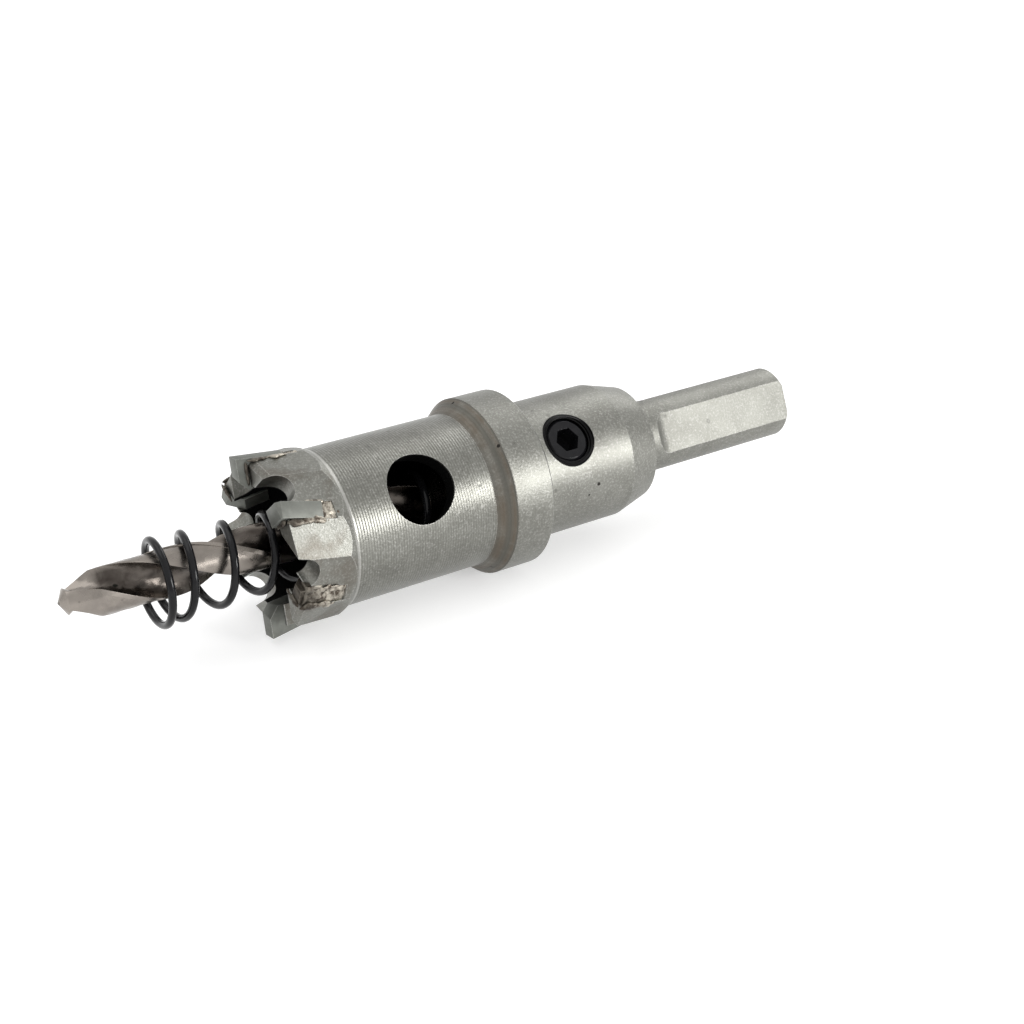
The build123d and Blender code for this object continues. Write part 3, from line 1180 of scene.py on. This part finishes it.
@dataclass
class BrazeSpill:
    """Braze that ran out round each tip: beads along its edges and a rough pad behind it.

    Sizes are in millimetres, in the pocket's own directions.
    """

    pockets: tuple[Pocket, ...] = (
        Pocket(1, 139.0),
        Pocket(2, 199.0, covered=True),
        Pocket(3, 259.0),
        Pocket(4, 323.0),
        Pocket(5, 24.0, covered=True),
        Pocket(6, 79.0),
    )
    # Along the tip's outer edge, down its front end, and along its edge at the gullet
    beads: tuple[Bead, ...] = (
        Bead((-4.55, 10.85, 1.36), (0.3, 10.82, 1.28), 0.48, 0.2),
        Bead((-4.72, 10.7, 1.22), (-4.72, 7.7, 1.2), 0.34, 0.2),
        Bead((-1.9, 10.48, -1.16), (0.4, 10.5, -1.14), 0.20, 0.10),
    )
    bead_sides: int = 10
    bead_step: float = 0.16
    bead_fewest_steps: int = 4
    swell: float = 0.65
    swell_scale: float = 1.9
    drift: float = 0.5
    drift_scale: float = 1.3
    end_slope: float = 6.0
    end_size: float = 0.25

    pad_cuts: int = 17
    pad_front: float = -0.25
    pad_front_covered: float = -4.4
    pad_rear: float = 2.45
    pad_width: float = 2.8
    pad_depth: float = 0.9
    pad_top: float = 10.54
    pad_rise: float = -0.036
    pad_tilt: float = 0.138
    side_sink: float = 0.2
    end_sink: float = 0.45
    # Each kind of lump's height and scale
    lumps: tuple[tuple[float, float], ...] = ((0.26, 1.5), (0.14, 4.2))

    def bead(self, pocket: Pocket, bead: Bead) -> BMesh:
        """Make a lumpy bead from a straight tube.

        Args:
            pocket: the pocket that it lies beside.
            bead: its ends and its size.

        Returns:
            The bead's mesh.
        """
        first, last = Vector(bead.start), Vector(bead.end)
        steps = max(self.bead_fewest_steps, round((last - first).length / self.bead_step))
        outwards = abs((last - first).normalized().y) < 0.5
        rise = Vector((0.0, 1.0, 0.0)) if outwards else Vector((1.0, 0.0, 0.0))
        work = bmesh.new()
        bmesh.ops.create_cone(work, cap_ends=True, segments=self.bead_sides, radius1=1.0,
                              radius2=1.0, depth=1.0)
        sides = [edge for edge in work.edges if edge.verts[0].co.z * edge.verts[1].co.z < 0]
        bmesh.ops.subdivide_edges(work, edges=sides, cuts=steps - 1)
        for vert in work.verts:
            share = vert.co.z + 0.5
            middle = first.lerp(last, share)
            seed = middle * self.swell_scale + Vector((pocket.number * 7.0, 0.0, 0.0))
            ends = min(share, 1.0 - share) * self.end_slope + self.end_size
            size = (1.0 + self.swell * noise.noise(seed)) * min(1.0, ends)
            seed = middle * self.drift_scale + Vector((0.0, pocket.number * 5.0, 3.0))
            local = middle + rise * (bead.height * size * vert.co.x)
            local.z += bead.width * (size * vert.co.y + self.drift * noise.noise(seed))
            vert.co = pocket.point(*local)
        return work

    def pad(self, pocket: Pocket) -> BMesh:
        """Make the rough fill in the pocket from a cube.

        Args:
            pocket: the pocket that it fills, along the whole tip where it is covered.

        Returns:
            The pad's mesh.
        """
        front = self.pad_front_covered if pocket.covered else self.pad_front
        work = bmesh.new()
        bmesh.ops.create_cube(work, size=1.0)
        bmesh.ops.subdivide_edges(work, edges=work.edges[:], cuts=self.pad_cuts,
                                  use_grid_fill=True)
        for vert in work.verts:
            along = front + (self.pad_rear - front) * (vert.co.x + 0.5)
            aside = self.pad_width * vert.co.y
            seed = Vector((along, aside, pocket.number * 3.0))
            top = self.pad_top + self.pad_rise * min(along, 0.0) + self.pad_tilt * aside
            top += sum(height * noise.noise(seed * scale) for height, scale in self.lumps)
            top -= self.side_sink * abs(2 * vert.co.y) ** 3
            top -= self.end_sink * max(0.0, 2 * vert.co.x) ** 6
            vert.co = pocket.point(along, top - self.pad_depth * (0.5 - vert.co.z), aside)
        return work

    def build(self, finishes: Finishes) -> None:
        """Make one piece of braze for each tooth.

        Args:
            finishes: the tool's finishes.
        """
        for pocket in self.pockets:
            work = merged([self.pad(pocket)] + [self.bead(pocket, bead) for bead in self.beads])
            bmesh.ops.recalc_face_normals(work, faces=work.faces)
            for face in work.faces:
                face.smooth = True
            spill = object_from(work, f"braze_{pocket.number}")
            finish_piece(spill, finishes.braze, Slot.STEEL)


@dataclass
class EjectorSpring:
    """The coil spring round the drill, of round wire, flared at the front, hanging a little."""

    wire: float = 1.0 * MM
    wire_rounding: int = 5
    mean_radius: float = 4.55 * MM
    flare: float = 0.65 * MM
    flare_turns: float = 3.5
    front: float = -95.8 * MM
    rear: float = -54.35 * MM
    pitch: float = 5.3 * MM
    easing_turns: float = 1.7
    sag: float = 0.9 * MM
    end_angle: float = 330.0
    steps_per_turn: int = 40

    def climbed(self, turn: float, turns: float) -> float:
        """How far the wire has climbed along the axis, easing in and out at the closed ends.

        Args:
            turn: the turns from its front end.
            turns: all its turns.

        Returns:
            The climb in pitches.
        """
        left = turns - turn
        if turn < self.easing_turns:
            return turn**2 / (2 * self.easing_turns)
        if left < self.easing_turns:
            return turns - self.easing_turns - left**2 / (2 * self.easing_turns)
        return turn - self.easing_turns / 2

    def centre_line(self) -> list[Vector]:
        """Lay out the wire.

        Returns:
            The points of its centre line.
        """
        turns = (self.rear - self.front) / self.pitch + self.easing_turns
        steps = round(turns * self.steps_per_turn)
        line = []
        for i in range(steps + 1):
            turn = turns * i / steps
            angle = math.radians(self.end_angle - 360 * turn)
            radius = self.mean_radius + self.flare * max(1 - turn / self.flare_turns, 0)
            along = self.front + self.pitch * self.climbed(turn, turns)
            line.append(Vector((along, radius * math.cos(angle),
                                radius * math.sin(angle) - self.sag)))
        return line

    def build(self, finishes: Finishes) -> None:
        """Make the wire as a tube along its centre line.

        Args:
            finishes: the tool's finishes.
        """
        line = self.centre_line()
        curve = bpy.data.curves.new("spring_line", "CURVE")
        curve.dimensions = "3D"
        curve.bevel_depth = self.wire / 2
        curve.bevel_resolution = self.wire_rounding
        curve.use_fill_caps = True
        curve.resolution_u = 1
        spline = curve.splines.new("POLY")
        spline.points.add(len(line) - 1)
        for point, place in zip(spline.points, line):
            point.co = (*place, 1.0)
        carrier = linked("spring_line", curve)
        settled = bpy.context.evaluated_depsgraph_get()
        mesh = bpy.data.meshes.new_from_object(carrier.evaluated_get(settled))
        bpy.data.objects.remove(carrier)
        bpy.data.curves.remove(curve)
        mesh.name = "ejector_spring_skin"
        for face in mesh.polygons:
            face.use_smooth = True
        piece = linked("ejector_spring_skin", mesh)
        finish_piece(piece, finishes.black, Slot.BLACK, "ejector_spring")


# ---- Floor, light and camera


def aimed(place: Place, target: Place) -> Euler:
    """The turn that points a lamp or the camera from one place at another."""
    return (Vector(target) - Vector(place)).to_track_quat("-Z", "Y").to_euler()


@dataclass(frozen=True)
class Lamp:
    """A square soft lamp. Its power is in watts."""

    name: str
    place: Place
    size: float
    power: float


@dataclass
class Studio:
    """A pale floor, a soft studio light and the camera."""

    floor_height: float = -11.8 * MM
    floor_size: float = 8.0
    floor_colour: Colour = (0.68, 0.68, 0.68)
    floor_glow: float = 0.46
    sky: Span = Span(0.0, 0.6, 0.35, 1.1)
    lamps: tuple[Lamp, ...] = (
        Lamp("front lamp", (0.175, -0.37, 0.115), 0.15, 1.12),
        Lamp("top lamp", (-0.25, 0.25, 0.60), 0.50, 0.8),
        Lamp("rear lamp", (0.13, 0.09, 0.16), 0.12, 0.12),
    )
    lamp_target: Place = (-0.05, 0.0, 0.0)
    camera_place: Place = (-0.15300, -0.16136, 0.09179)
    camera_target: Place = (-0.04497, 0.0, -0.00568)
    lens: float = 56.71
    sensor: float = 36.0
    clip: tuple[float, float] = (0.005, 20.0)

    @staticmethod
    def split_by_ray(tree: Tree, plain: Socket, shown: Socket, output: str) -> None:
        """Light the tool with one shader, and show another to the camera and in shiny metal.

        Args:
            tree: the tree of the floor or the world.
            plain: the shader that lights the tool.
            shown: the shader for rays straight from the camera, or from it by way of shiny or
                clear material.
            output: the output node's type name, without ShaderNode.
        """
        path = add_node(tree, "LightPath")
        mirrored = either(tree, path.outputs["Is Glossy Ray"], path.outputs["Is Transmission Ray"])
        seen = either(tree, path.outputs["Is Camera Ray"], mirrored)
        choose = add_node(tree, "MixShader", in_Fac=seen)
        feed(tree, choose.inputs[1], plain)
        feed(tree, choose.inputs[2], shown)
        add_node(tree, output, in_Surface=choose.outputs[0])

    def floor(self) -> None:
        """Make the floor, white where it is seen, which keeps the tool's soft shadow."""
        work = bmesh.new()
        bmesh.ops.create_grid(work, x_segments=1, y_segments=1, size=self.floor_size / 2)
        bmesh.ops.translate(work, verts=work.verts, vec=(0.0, 0.0, self.floor_height))
        floor = object_from(work, "floor")
        material, tree = new_material("floor")
        matt = add_node(tree, "BsdfDiffuse", in_Color=self.floor_colour).outputs[0]
        glow = add_node(tree, "Emission", in_Strength=self.floor_glow).outputs[0]
        lit = add_node(tree, "AddShader")
        feed(tree, lit.inputs[0], matt)
        feed(tree, lit.inputs[1], glow)
        self.split_by_ray(tree, matt, lit.outputs[0], "OutputMaterial")
        floor.data.materials.append(material)

    def world(self) -> None:
        """Light the tool softly, brighter from above, with a sky that is white where seen."""
        world = bpy.data.worlds.new("studio")
        bpy.context.scene.world = world
        world.use_nodes = True
        tree = world.node_tree
        tree.nodes.clear()
        heading = add_node(tree, "TexCoord").outputs["Generated"]
        height = add_node(tree, "SeparateXYZ", in_Vector=heading).outputs["Z"]
        sky = add_node(tree, "Background", in_Color=WHITE,
                       in_Strength=ranged(tree, height, self.sky))
        white = add_node(tree, "Background", in_Color=WHITE, in_Strength=1.0)
        self.split_by_ray(tree, sky.outputs[0], white.outputs[0], "OutputWorld")

    def lights(self) -> None:
        """Hang the soft lamps."""
        for lamp in self.lamps:
            light = bpy.data.lights.new(lamp.name, "AREA")
            light.shape = "SQUARE"
            light.size = lamp.size
            light.energy = lamp.power
            holder = linked(lamp.name, light)
            holder.location = lamp.place
            holder.rotation_euler = aimed(lamp.place, self.lamp_target)

    def camera(self) -> None:
        """Set up the camera at the picture's angle."""
        camera = bpy.data.cameras.new("camera")
        camera.lens = self.lens
        camera.sensor_width = self.sensor
        camera.clip_start, camera.clip_end = self.clip
        holder = linked("camera", camera)
        holder.location = self.camera_place
        holder.rotation_euler = aimed(self.camera_place, self.camera_target)
        bpy.context.scene.camera = holder

    def build(self) -> None:
        """Build the whole studio."""
        self.floor()
        self.world()
        self.lights()
        self.camera()
        bpy.context.scene.view_settings.view_transform = "Standard"


def main() -> None:
    """Build the studio and dress every piece."""
    logging.basicConfig(level=logging.INFO, format="%(name)s: %(message)s")
    Studio().build()
    finishes = Finishes()
    makers = (CutterBody(), CuttingTips(), BrazeSpill(), PilotDrill(), EjectorSpring(), SetScrew())
    for maker in makers:
        maker.build(finishes)


if __name__ == "__main__":
    main()
